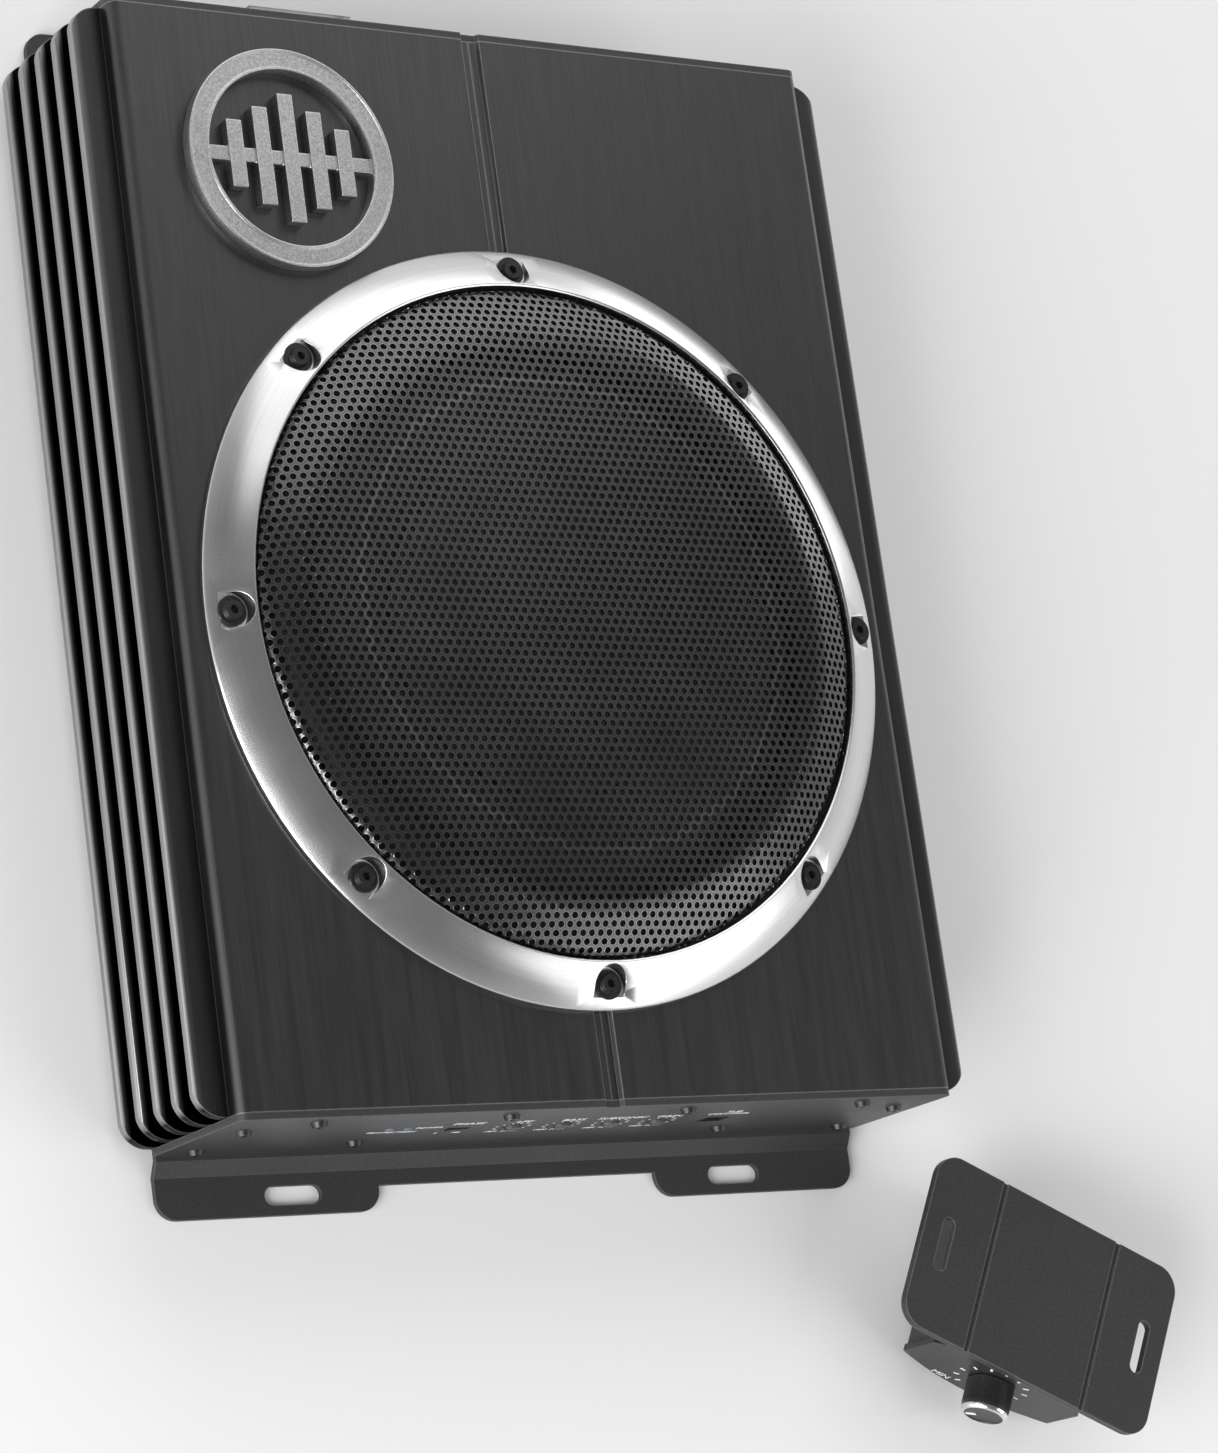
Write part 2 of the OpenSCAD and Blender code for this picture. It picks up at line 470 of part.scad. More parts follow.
module remote_socket() color([0.1, 0.1, 0.1]) at_remote() difference() {
    translate([-5.8, plate_d / 2 - 14, 9.2]) cube([11.6, 13.8, 8.6]);
    translate([-4.6, plate_d / 2 - 12, 10.4]) cube([9.2, 14, 6.2]);
}
module remote_screws() color([0.2, 0.2, 0.2]) at_remote() for (x = [-17, 17], y = [-18, 18])
    pan_screw_up(x, y, remote_h - 2.2, 2.6, 1.4, 1.5, 4);

case_left();
case_right();
centre_joiner();
bottom_cover();
control_end_panel();
terminal_end_panel();
control_end_bracket();
terminal_end_bracket();
trim_ring();
grille();
badge();
ring_screws();
frame_gasket();
woofer_basket();
surround();
cone();
dust_cap();
voice_coil();
spider();
top_plate();
magnet();
yoke();
amplifier_board();
board_standoffs();
capacitors();
chokes();
power_transistors();
transistor_clamps();
heat_spreaders();
terminal_block();
terminal_cover();
terminal_screws();
fuse_holder();
fuses();
rca_jacks();
high_level_socket();
control_board();
pot_bodies();
gain_pot();
subsonic_pot();
bass_boost_pot();
lowpass_pot();
phase_switch_body();
phase_slider();
remote_jack();
indicator_lenses();
control_panel_screws();
terminal_panel_screws();
bracket_screws();
cover_screws();
remote_housing();
remote_front_panel();
remote_plate();
remote_knob();
remote_potentiometer();
remote_board();
remote_socket();
remote_screws();
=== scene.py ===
"""Looks of a powered under-seat car subwoofer with a wired level remote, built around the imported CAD."""
import json
import math

import bmesh
import bpy
from mathutils import Matrix, Vector


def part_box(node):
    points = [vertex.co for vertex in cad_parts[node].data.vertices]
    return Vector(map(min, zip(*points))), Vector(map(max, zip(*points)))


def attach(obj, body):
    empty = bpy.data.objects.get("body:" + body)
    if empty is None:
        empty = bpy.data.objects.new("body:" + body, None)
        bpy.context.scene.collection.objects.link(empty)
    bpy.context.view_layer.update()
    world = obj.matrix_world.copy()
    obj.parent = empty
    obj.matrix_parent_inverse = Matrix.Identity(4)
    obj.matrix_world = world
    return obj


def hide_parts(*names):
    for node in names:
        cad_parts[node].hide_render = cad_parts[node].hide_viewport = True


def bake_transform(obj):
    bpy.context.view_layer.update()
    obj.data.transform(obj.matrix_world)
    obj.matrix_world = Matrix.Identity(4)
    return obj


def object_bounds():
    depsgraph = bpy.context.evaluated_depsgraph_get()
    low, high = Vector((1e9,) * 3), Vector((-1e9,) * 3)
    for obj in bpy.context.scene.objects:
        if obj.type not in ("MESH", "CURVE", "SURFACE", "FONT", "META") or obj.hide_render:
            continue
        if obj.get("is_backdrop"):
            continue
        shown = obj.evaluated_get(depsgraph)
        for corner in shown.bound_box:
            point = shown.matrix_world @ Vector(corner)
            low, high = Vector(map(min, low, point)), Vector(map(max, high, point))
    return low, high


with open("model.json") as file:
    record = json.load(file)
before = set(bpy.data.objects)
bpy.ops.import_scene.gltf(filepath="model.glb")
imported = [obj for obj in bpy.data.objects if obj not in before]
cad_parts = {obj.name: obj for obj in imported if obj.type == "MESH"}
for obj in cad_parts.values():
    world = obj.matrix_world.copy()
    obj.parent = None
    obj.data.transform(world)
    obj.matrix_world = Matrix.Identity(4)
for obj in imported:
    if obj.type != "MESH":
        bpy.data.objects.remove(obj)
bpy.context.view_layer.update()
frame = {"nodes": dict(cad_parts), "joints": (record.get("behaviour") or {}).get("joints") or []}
NODES = frame["nodes"]
MM = 0.001
scene = bpy.context.scene

# ---------------------------------------------------------------- driving places, from the frame
ring_low, ring_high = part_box("trim_ring")
DRIVER = Vector(((ring_low.x + ring_high.x) / 2, (ring_low.y + ring_high.y) / 2, 0))
FACE_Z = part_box("case_left")[1].z
PANEL_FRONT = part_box("control_end_panel")[0].y
FIN_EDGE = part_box("case_right")[1].x
# Where the case's colour changes, for painted shade between the fins and a painted highlight on their tips:
# two spans out from its middle and one of height, in metres
GROOVE_SHADE_SPAN = (FIN_EDGE - 0.0176, FIN_EDGE - 0.0170)
TIP_HIGHLIGHT_SPAN = (FIN_EDGE - 0.0030, FIN_EDGE - 0.0012)
FIN_TOP_SPAN = (FACE_Z - 0.0078, FACE_Z - 0.0074)
JOINTS = {j["name"]: j for j in frame["joints"]}


# ---------------------------------------------------------------- materials
class Mat:
    """A Principled material with small helpers for procedural nodes in object space."""

    def __init__(self, name, color, metallic=0.0, rough=0.5, specular=0.5, coat=0.0, coat_rough=0.1):
        self.mat = bpy.data.materials.new(name)
        self.mat.use_nodes = True
        self.tree = self.mat.node_tree
        self.bsdf = self.tree.nodes["Principled BSDF"]
        self.set("Base Color", (*color, 1))
        self.set("Metallic", metallic)
        self.set("Roughness", rough)
        self.set("Specular IOR Level", specular)
        self.set("Coat Weight", coat)
        self.set("Coat Roughness", coat_rough)
        self.coords = self.tree.nodes.new("ShaderNodeTexCoord").outputs["Object"]
        self.normal = None

    def set(self, socket, value):
        self.bsdf.inputs[socket].default_value = value

    def link(self, out, socket):
        self.tree.links.new(out, socket)

    def node(self, kind, **inputs):
        node = self.tree.nodes.new(kind)
        for key, value in inputs.items():
            node.inputs[key.replace("_", " ")].default_value = value
        return node

    def noise(self, scale=(1, 1, 1), size=100.0, detail=4.0, rough=0.6):
        """Noise in object space; scale stretches it, size is its frequency per metre."""
        mapping = self.node("ShaderNodeMapping")
        mapping.inputs["Scale"].default_value = scale
        self.link(self.coords, mapping.inputs["Vector"])
        noise = self.node("ShaderNodeTexNoise", Scale=size, Detail=detail, Roughness=rough)
        self.link(mapping.outputs["Vector"], noise.inputs["Vector"])
        return noise.outputs["Fac"]

    def spread(self, fac, low, high, start=0.3, end=0.7):
        """Maps a factor to the span low..high."""
        span = self.node("ShaderNodeMapRange")
        span.inputs["From Min"].default_value = start
        span.inputs["From Max"].default_value = end
        span.inputs["To Min"].default_value = low
        span.inputs["To Max"].default_value = high
        self.link(fac, span.inputs["Value"])
        return span.outputs["Result"]

    def mix_color(self, fac, a, b):
        mix = self.tree.nodes.new("ShaderNodeMix")
        mix.data_type = "RGBA"
        self.link(fac, mix.inputs["Factor"])
        mix.inputs["A"].default_value = (*a, 1)
        mix.inputs["B"].default_value = (*b, 1)
        self.link(mix.outputs["Result"], self.bsdf.inputs["Base Color"])
        return mix

    def rough(self, fac, low, high, start=0.3, end=0.7):
        self.link(self.spread(fac, low, high, start, end), self.bsdf.inputs["Roughness"])

    def bump(self, fac, depth, strength=1.0):
        """Adds a bump of this depth in metres, on top of any bump before it."""
        bump = self.node("ShaderNodeBump", Strength=strength, Distance=depth)
        self.link(fac, bump.inputs["Height"])
        if self.normal is not None:
            self.link(self.normal, bump.inputs["Normal"])
        self.normal = bump.outputs["Normal"]
        self.link(self.normal, self.bsdf.inputs["Normal"])


def brushed(name, dark, light, rough, grain=(1, 0.012, 1), metallic=1.0, depth=8e-6, size=2600):
    """Metal brushed along one axis: fine streaks in colour, gloss and height."""
    m = Mat(name, dark, metallic, sum(rough) / 2)
    streaks = m.noise(grain, size, 3, 0.7)
    broad = m.noise((grain[0] * 0.12, grain[1] * 0.5, grain[2] * 0.12), size, 2, 0.5)
    m.mix_color(m.spread(streaks, 0, 1, 0.25, 0.75), dark, light)
    m.rough(broad, *rough)
    m.bump(streaks, depth, 0.5)
    return m


def turned(name, dark, light, rough, centre, size=900, metallic=1.0):
    """Metal turned on a lathe: the grain runs round the given centre."""
    m = Mat(name, dark, metallic, sum(rough) / 2)
    shift = m.node("ShaderNodeVectorMath")
    shift.operation = "SUBTRACT"
    m.link(m.coords, shift.inputs[0])
    shift.inputs[1].default_value = centre
    flat = m.node("ShaderNodeVectorMath")
    flat.operation = "MULTIPLY"
    m.link(shift.outputs["Vector"], flat.inputs[0])
    flat.inputs[1].default_value = (1, 1, 0)
    radius = m.node("ShaderNodeVectorMath")
    radius.operation = "LENGTH"
    m.link(flat.outputs["Vector"], radius.inputs[0])
    lines = m.node("ShaderNodeTexNoise", Scale=size, Detail=3.0, Roughness=0.7)
    lines.noise_dimensions = "1D"
    m.link(radius.outputs["Value"], lines.inputs["W"])
    patch = m.noise((1, 1, 1), 30, 2)
    m.mix_color(m.spread(lines.outputs["Fac"], 0, 1, 0.25, 0.75), dark, light)
    m.rough(patch, *rough)
    m.bump(lines.outputs["Fac"], 2e-6, 0.4)
    return m


def textured(name, dark, light, rough, size=900, depth=4e-5, metallic=0.0, specular=0.5, coat=0.0):
    """Powder coat, moulded plastic or cast skin: an even fine grain with slow variation."""
    m = Mat(name, dark, metallic, sum(rough) / 2, specular, coat)
    grain = m.noise((1, 1, 1), size, 4, 0.6)
    slow = m.noise((1, 1, 1), 25, 2)
    m.mix_color(m.spread(grain, 0, 1), dark, light)
    m.rough(slow, *rough)
    m.bump(grain, depth, 0.6)
    return m


def painted_edge_highlight(m, light, width=0.0006):
    """Painted highlight: lightens the colour a little at sharp edges, where they would catch the light."""
    bevel = m.tree.nodes.new("ShaderNodeBevel")
    bevel.samples = 4
    bevel.inputs["Radius"].default_value = width
    geometry = m.tree.nodes.new("ShaderNodeNewGeometry")
    dot = m.node("ShaderNodeVectorMath")
    dot.operation = "DOT_PRODUCT"
    m.link(bevel.outputs["Normal"], dot.inputs[0])
    m.link(geometry.outputs["Normal"], dot.inputs[1])
    edge = m.spread(dot.outputs["Value"], 1, 0, 0.75, 1.0)
    old = m.bsdf.inputs["Base Color"].links[0].from_socket
    mix = m.tree.nodes.new("ShaderNodeMix")
    mix.data_type = "RGBA"
    m.link(edge, mix.inputs["Factor"])
    m.link(old, mix.inputs["A"])
    mix.inputs["B"].default_value = (*light, 1)
    m.link(mix.outputs["Result"], m.bsdf.inputs["Base Color"])
    return m


def fin_shade_and_highlight(m, groove_shade, tip_highlight):
    """Painted shade darkens the depths between the cooling fins, and a painted highlight lightens the tips of
    the fins.
    """
    split = m.tree.nodes.new("ShaderNodeSeparateXYZ")
    m.link(m.coords, split.inputs["Vector"])
    side = m.tree.nodes.new("ShaderNodeMath")
    side.operation = "ABSOLUTE"
    m.link(split.outputs["X"], side.inputs[0])
    below = m.spread(split.outputs["Z"], 1, 0, *FIN_TOP_SPAN)
    color = m.bsdf.inputs["Base Color"].links[0].from_socket
    # first the painted shade in the grooves, then the painted highlight on the fin tips
    for (start, end), shade in ((GROOVE_SHADE_SPAN, groove_shade), (TIP_HIGHLIGHT_SPAN, tip_highlight)):
        mask = m.tree.nodes.new("ShaderNodeMath")
        mask.operation = "MULTIPLY"
        m.link(m.spread(side.outputs["Value"], 0, 1, start, end), mask.inputs[0])
        m.link(below, mask.inputs[1])
        mix = m.tree.nodes.new("ShaderNodeMix")
        mix.data_type = "RGBA"
        m.link(mask.outputs["Value"], mix.inputs["Factor"])
        m.link(color, mix.inputs["A"])
        mix.inputs["B"].default_value = (*shade, 1)
        color = mix.outputs["Result"]
    m.link(color, m.bsdf.inputs["Base Color"])
    return m


case_black = brushed("case_black", (0.072, 0.072, 0.073), (0.102, 0.102, 0.104), (0.36, 0.44))
# Painted shade in the grooves between the fins and a painted highlight on the fin tips
fin_shade_and_highlight(case_black, (0.004, 0.004, 0.004), (0.36, 0.36, 0.365))
ring_silver = turned("ring_silver", (0.62, 0.62, 0.63), (0.68, 0.68, 0.69), (0.22, 0.28), DRIVER)
plain_aluminium = brushed("plain_aluminium", (0.55, 0.55, 0.56), (0.75, 0.75, 0.76), (0.3, 0.45))
sheet_black = textured("sheet_black", (0.022, 0.022, 0.024), (0.04, 0.04, 0.042), (0.42, 0.5), 1400, 2e-5)
bracket_black = textured("bracket_black", (0.018, 0.018, 0.019), (0.038, 0.038, 0.04), (0.48, 0.6), 1600,
                         5e-5)
grille_black = textured("grille_black", (0.075, 0.075, 0.077), (0.14, 0.14, 0.143), (0.24, 0.32), 1500,
                        1e-5, 1.0)
badge_silver = textured("badge_silver", (0.3, 0.3, 0.305), (0.62, 0.62, 0.63), (0.34, 0.46), 1500, 1e-4, 1.0)
screw_black = textured("screw_black", (0.02, 0.02, 0.02), (0.05, 0.05, 0.052), (0.3, 0.42), 1200, 2e-5, 0.6)
foam = textured("foam", (0.015, 0.015, 0.015), (0.03, 0.03, 0.03), (0.85, 0.95), 2500, 1e-4)
basket_paint = textured("basket_paint", (0.03, 0.03, 0.032), (0.045, 0.045, 0.047), (0.35, 0.45), 500, 2e-5)
surround_rubber = textured("surround_rubber", (0.016, 0.016, 0.016), (0.03, 0.03, 0.03), (0.5, 0.65), 800,
                           3e-5)
cone_grey = textured("cone_grey", (0.04, 0.04, 0.042), (0.075, 0.075, 0.078), (0.4, 0.55), 700, 8e-5)
copper = turned("copper", (0.42, 0.18, 0.08), (0.62, 0.3, 0.13), (0.3, 0.4), DRIVER, 2600)
spider_cloth = textured("spider_cloth", (0.42, 0.3, 0.12), (0.6, 0.47, 0.22), (0.8, 0.9), 2200, 1.5e-4)
zinc = brushed("zinc", (0.5, 0.5, 0.5), (0.68, 0.68, 0.68), (0.28, 0.42), (1, 1, 1), size=300)
ferrite = textured("ferrite", (0.05, 0.05, 0.052), (0.085, 0.085, 0.088), (0.5, 0.7), 600, 8e-5)
circuit_green = textured("circuit_green", (0.015, 0.09, 0.04), (0.03, 0.15, 0.07), (0.25, 0.35), 350,
                         3e-5, coat=0.4)
sleeve_blue = textured("sleeve_blue", (0.015, 0.016, 0.06), (0.025, 0.027, 0.09), (0.2, 0.3), 400, 1e-5)
wound_copper = brushed("wound_copper", (0.35, 0.14, 0.05), (0.6, 0.28, 0.1), (0.25, 0.4), (1, 1, 0.02),
                       size=900)
epoxy_black = textured("epoxy_black", (0.018, 0.018, 0.019), (0.035, 0.035, 0.036), (0.5, 0.62), 1800, 4e-5)
nylon_black = textured("nylon_black", (0.014, 0.014, 0.015), (0.03, 0.03, 0.031), (0.28, 0.38), 900, 2e-5)
gold = turned("gold", (0.62, 0.42, 0.14), (0.85, 0.62, 0.25), (0.2, 0.3), DRIVER, 1500)
fuse_amber = textured("fuse_amber", (0.7, 0.28, 0.03), (0.85, 0.4, 0.06), (0.15, 0.25), 200, 1e-5)
nylon_white = textured("nylon_white", (0.62, 0.61, 0.57), (0.75, 0.74, 0.7), (0.4, 0.5), 700, 2e-5)
pot_grey = textured("pot_grey", (0.06, 0.06, 0.062), (0.1, 0.1, 0.104), (0.35, 0.45), 900, 2e-5)
remote_black = textured("remote_black", (0.014, 0.014, 0.015), (0.034, 0.034, 0.036), (0.42, 0.5), 1300, 7e-5)
remote_smooth = textured("remote_smooth", (0.016, 0.016, 0.017), (0.026, 0.026, 0.027), (0.32, 0.4), 1500,
                         1e-5)
knob_black = textured("knob_black", (0.014, 0.014, 0.014), (0.026, 0.026, 0.026), (0.3, 0.4), 1800, 1e-5)
polished = turned("polished", (0.7, 0.7, 0.7), (0.86, 0.86, 0.86), (0.1, 0.18), DRIVER, 300)
white_print = textured("white_print", (0.72, 0.72, 0.72), (0.85, 0.85, 0.85), (0.5, 0.6), 1500, 5e-6)
clear_plastic = textured("clear_plastic", (0.85, 0.88, 0.9), (0.95, 0.96, 0.97), (0.06, 0.14), 60, 5e-6)
clear_plastic.set("Transmission Weight", 0.85)
clear_plastic.set("IOR", 1.5)
lamp_clear = textured("lamp_clear", (0.35, 0.5, 0.7), (0.5, 0.65, 0.85), (0.08, 0.14), 90, 5e-6)
lamp_clear.set("Transmission Weight", 0.6)
# Painted highlight along each material's sharp edges, with the colour the edges are lightened to
for edged_look, edge_highlight in ((case_black, (0.5, 0.5, 0.51)), (sheet_black, (0.14, 0.14, 0.14)),
                     (bracket_black, (0.12, 0.12, 0.12)), (badge_silver, (0.9, 0.9, 0.9)),
                     (grille_black, (0.34, 0.34, 0.345)), (remote_black, (0.2, 0.2, 0.2)),
                     (ring_silver, (0.88, 0.88, 0.88))):
    painted_edge_highlight(edged_look, edge_highlight)

LOOKS = {
    case_black: ["case_left", "case_right"],
    plain_aluminium: ["centre_joiner", "heat_spreaders", "transistor_clamps"],
    sheet_black: ["bottom_cover", "control_end_panel", "terminal_end_panel"],
    bracket_black: ["control_end_bracket", "terminal_end_bracket"],
    ring_silver: ["trim_ring"],
    grille_black: ["grille"],
    badge_silver: ["badge"],
    screw_black: ["ring_screws", "control_panel_screws", "terminal_panel_screws", "remote_screws"],
    foam: ["frame_gasket"],
    basket_paint: ["woofer_basket"],
    surround_rubber: ["surround"],
    cone_grey: ["cone", "dust_cap"],
    copper: ["voice_coil"],
    spider_cloth: ["spider"],
    zinc: ["top_plate", "yoke", "board_standoffs", "bracket_screws", "cover_screws",
           "phase_switch_body", "remote_potentiometer"],
    ferrite: ["magnet"],
    circuit_green: ["amplifier_board", "control_board", "remote_board"],
    sleeve_blue: ["capacitors"],
    wound_copper: ["chokes"],
    epoxy_black: ["power_transistors"],
    nylon_black: ["terminal_block", "fuse_holder", "remote_jack", "remote_socket", "phase_slider"],
    clear_plastic: ["terminal_cover"],
    gold: ["terminal_screws", "rca_jacks"],
    fuse_amber: ["fuses"],
    nylon_white: ["high_level_socket"],
    pot_grey: ["pot_bodies", "gain_pot", "subsonic_pot", "bass_boost_pot", "lowpass_pot"],
    lamp_clear: ["indicator_lenses"],
    remote_black: ["remote_housing", "remote_plate"],
    remote_smooth: ["remote_front_panel"],
    knob_black: ["remote_knob"],
}
EDGE = {"case_left": 0.35, "case_right": 0.35, "trim_ring": 0.3, "badge": 0.35, "remote_plate": 0.7,
        "remote_front_panel": 0.5, "remote_housing": 0.6, "control_end_bracket": 0.4,
        "terminal_end_bracket": 0.4, "ring_screws": 0.15, "bottom_cover": 0.2}


def polish(obj, width):
    """Rounds a CAD node's sharp edges with modifiers, so that they catch the light."""
    weld = obj.modifiers.new("weld", "WELD")
    weld.merge_threshold = 1e-6
    bevel = obj.modifiers.new("edges", "BEVEL")
    bevel.width = width * MM
    bevel.segments = 2
    bevel.limit_method = "ANGLE"
    bevel.angle_limit = math.radians(32)
    bevel.harden_normals = False


for look, names in LOOKS.items():
    for name in names:
        node = NODES[name]
        node.data.materials.clear()
        node.data.materials.append(look.mat)
        if name in EDGE:
            polish(node, EDGE[name])


# ---------------------------------------------------------------- making pieces
def piece(name, verts, faces, look, body, smooth_angle=35):
    """A mesh piece in the row frame, shaded smooth below an angle, riding on a body if one is named."""
    mesh = bpy.data.meshes.new(name)
    mesh.from_pydata(verts, [], faces)
    mesh.materials.append(look.mat)
    mesh.validate()
    bm = bmesh.new()
    bm.from_mesh(mesh)
    bmesh.ops.recalc_face_normals(bm, faces=bm.faces)
    bm.to_mesh(mesh)
    bm.free()
    mesh.shade_smooth()
    mesh.set_sharp_from_angle(angle=math.radians(smooth_angle))
    obj = bpy.data.objects.new(name, mesh)
    scene.collection.objects.link(obj)
    if body:
        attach(obj, body)
    return obj


# ---------------------------------------------------------------- perforated grille
HOLE_PITCH = 3.42 * MM
HOLE_R = 1.2 * MM
HOLE_SIDES = 12
SHEET = 0.9 * MM
# The pan's outer profile: radius and height above the face, in millimetres
PAN = [(0, 16.6), (60, 16.4), (94, 16.0), (99, 15.7), (103, 14.9), (111.6, 11.7), (114.6, 10.4),
       (116.2, 9.0), (116.9, 7.2), (116.9, 4.6)]


def pan_lengths():
    """Distance along the profile from the centre to each of its points."""
    lengths = [0.0]
    for (r0, z0), (r1, z1) in zip(PAN, PAN[1:]):
        lengths.append(lengths[-1] + math.hypot(r1 - r0, z1 - z0))
    return lengths


PAN_LENGTH = pan_lengths()


def on_pan(x, y, depth):
    """Wraps a point of the flat sheet (metres) over the pan, depth below its outer surface."""
    flat = math.hypot(x, y)
    s = min(flat / MM, PAN_LENGTH[-1])
    k = max(i for i in range(len(PAN) - 1) if PAN_LENGTH[i] <= s)
    t = (s - PAN_LENGTH[k]) / (PAN_LENGTH[k + 1] - PAN_LENGTH[k])
    (r0, z0), (r1, z1) = PAN[k], PAN[k + 1]
    run = math.hypot(r1 - r0, z1 - z0)
    r = (r0 + (r1 - r0) * t) * MM + depth * (z1 - z0) / run
    z = (z0 + (z1 - z0) * t) * MM - depth * (r1 - r0) / run
    if flat < 1e-9:
        return (DRIVER.x, DRIVER.y, FACE_Z + z)
    return (DRIVER.x + x / flat * r, DRIVER.y + y / flat * r, FACE_Z + z)


def grille_part(name, keep):
    """A closed sheet of hexagonal cells with a round hole in each; keep(radius) chooses the cells."""
    reach = PAN_LENGTH[-1] * MM
    row_gap = HOLE_PITCH * math.sqrt(3) / 2
    rows = int(reach / row_gap) + 1
    corner_r = HOLE_PITCH / math.sqrt(3)
    points, index, faces, edges = [], {}, [], {}

    def vertex(x, y):
        key = (round(x * 1e7), round(y * 1e7))
        if key not in index:
            index[key] = len(points)
            points.append((x, y))
        return index[key]

    for row in range(-rows, rows + 1):
        cy = row * row_gap
        for col in range(-rows, rows + 1):
            cx = (col + (row % 2) * 0.5) * HOLE_PITCH
            if not keep(math.hypot(cx, cy) / MM) or math.hypot(cx, cy) > reach - corner_r:
                continue
            corners = [vertex(cx + corner_r * math.cos(math.radians(a)),
                              cy + corner_r * math.sin(math.radians(a)))
                       for a in range(30, 390, 60)]
            rim = []
            for i in range(HOLE_SIDES):
                a = math.radians(30) + 2 * math.pi * i / HOLE_SIDES
                rim.append(len(points))
                points.append((cx + HOLE_R * math.cos(a), cy + HOLE_R * math.sin(a)))
            outer, inner = 0, 0
            while outer < 6 or inner < HOLE_SIDES:
                # walk round corners and rim together, always adding the one that is behind
                if outer / 6 <= inner / HOLE_SIDES and outer < 6:
                    faces.append((corners[outer % 6], corners[(outer + 1) % 6], rim[inner % HOLE_SIDES]))
                    outer += 1
                else:
                    faces.append((corners[outer % 6], rim[(inner + 1) % HOLE_SIDES], rim[inner % HOLE_SIDES]))
                    inner += 1
    for face in faces:
        for a, b in zip(face, face[1:] + face[:1]):
            edges[(a, b)] = edges.get((a, b), 0) + 1
    count = len(points)
    verts = [on_pan(x, y, 0.0) for x, y in points] + [on_pan(x, y, SHEET) for x, y in points]
    walls = [(a, a + count, b + count, b) for a, b in edges if (b, a) not in edges]
    back = [tuple(i + count for i in reversed(face)) for face in faces]
    return piece(name, verts, faces + back + walls, grille_black, "case", 40)


# Radius in millimetres where the grille is split in two; whole, it is over the export's 200,000 triangles
SPLIT_R = 82.0
grille_centre = grille_part("grille_centre", lambda r: r < SPLIT_R)
grille_rim = grille_part("grille_rim", lambda r: r >= SPLIT_R)
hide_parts("grille")
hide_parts("grille")


# ---------------------------------------------------------------- surround and spider, in sectors
def sectors(name, profile, look, count=16, steps=6):
    """Revolves a closed profile (radius, height in mm) in sectors, each reaching from cone to case."""
    for k in range(count):
        verts, faces = [], []
        for j in range(steps + 1):
            a = 2 * math.pi * (k + j / steps) / count
            verts += [(DRIVER.x + r * MM * math.cos(a), DRIVER.y + r * MM * math.sin(a), z * MM)
                      for r, z in profile]
        n = len(profile)
        for j in range(steps):
            for i in range(n):
                a, b = j * n + i, j * n + (i + 1) % n
                faces.append((a, b, b + n, a + n))
        obj = piece(f"{name}_sector_{k}", verts, faces, look, None, 40)
        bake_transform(obj)
        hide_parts(name)


def surround_profile():
    """Half roll between two flat flanges, in millimetres."""
    base = FACE_Z / MM + 3.1
    mid, width, height = 102.2, 7.8, 6.5
    top = [(mid - width * math.cos(math.radians(a)), base + 1 + height * math.sin(math.radians(a)))
           for a in range(0, 181, 12)]
    under = [(mid + (width - 1) * math.cos(math.radians(a)),
              base + (height - 0.9) * math.sin(math.radians(a)))
             for a in range(0, 181, 12)]
    return [(88.6, base), (88.6, base + 0.9)] + top + [(113.5, base + 1), (113.5, base)] + under


def spider_profile():
    """Corrugated disc, in millimetres."""
    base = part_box("spider")[0].z / MM
    span = [(27.6 + 37.7 * i / 60) for i in range(61)]
    lift = [0.5 * (1 - math.cos(i / 60 * 2 * math.pi * 6)) if 3 < i < 54 else 0 for i in range(61)]
    top = [(r, base + 0.8 + h) for r, h in zip(span, lift)]
    return top + [(r, base + 0.1 + h) for r, h in zip(reversed(span), reversed(lift))]


sectors("surround", surround_profile(), surround_rubber)
sectors("spider", spider_profile(), spider_cloth)


# ---------------------------------------------------------------- printed marks
def flat_marks(name, quads, place, look, body, lift=0.00004):
    """Small printed shapes. quads are outlines in a panel's own (right, up); place maps them out."""
    verts, faces = [], []
    for outline in quads:
        base = len(verts)
        verts += [place(x, y, lift) for x, y in outline]
        verts += [place(x, y, -lift) for x, y in outline]
        n = len(outline)
        faces.append(tuple(range(base, base + n)))
        faces.append(tuple(reversed(range(base + n, base + 2 * n))))
        faces += [(base + i, base + i + n, base + (i + 1) % n + n, base + (i + 1) % n) for i in range(n)]
    return piece(name, verts, faces, look, body)


def bar(x, y, w, h, turn=0.0):
    """A small rectangle about (x, y), turned by degrees."""
    c, s = math.cos(math.radians(turn)), math.sin(math.radians(turn))
    return [(x + dx * c - dy * s, y + dx * s + dy * c)
            for dx, dy in ((-w / 2, -h / 2), (w / 2, -h / 2), (w / 2, h / 2), (-w / 2, h / 2))]


def word(text, size, look, body, place, at, name):
    """A generic legend as a thin mesh, centred on at in a panel's own (right, up)."""
    curve = bpy.data.curves.new(name, "FONT")
    curve.body = text
    curve.size = size
    curve.align_x = "CENTER"
    curve.align_y = "CENTER"
    curve.extrude = 0.00004
    temp = bpy.data.objects.new(name + "_curve", curve)
    scene.collection.objects.link(temp)
    bpy.context.view_layer.update()
    mesh = bpy.data.meshes.new_from_object(temp.evaluated_get(bpy.context.evaluated_depsgraph_get()))
    bpy.data.objects.remove(temp)
    verts = [place(at[0] + v.co.x, at[1] + v.co.y, v.co.z) for v in mesh.vertices]
    faces = [tuple(p.vertices) for p in mesh.polygons]
    bpy.data.meshes.remove(mesh)
    return piece(name, verts, faces, look, body)


def on_control_panel(x, z, out):
    return (x, PANEL_FRONT - out, z)


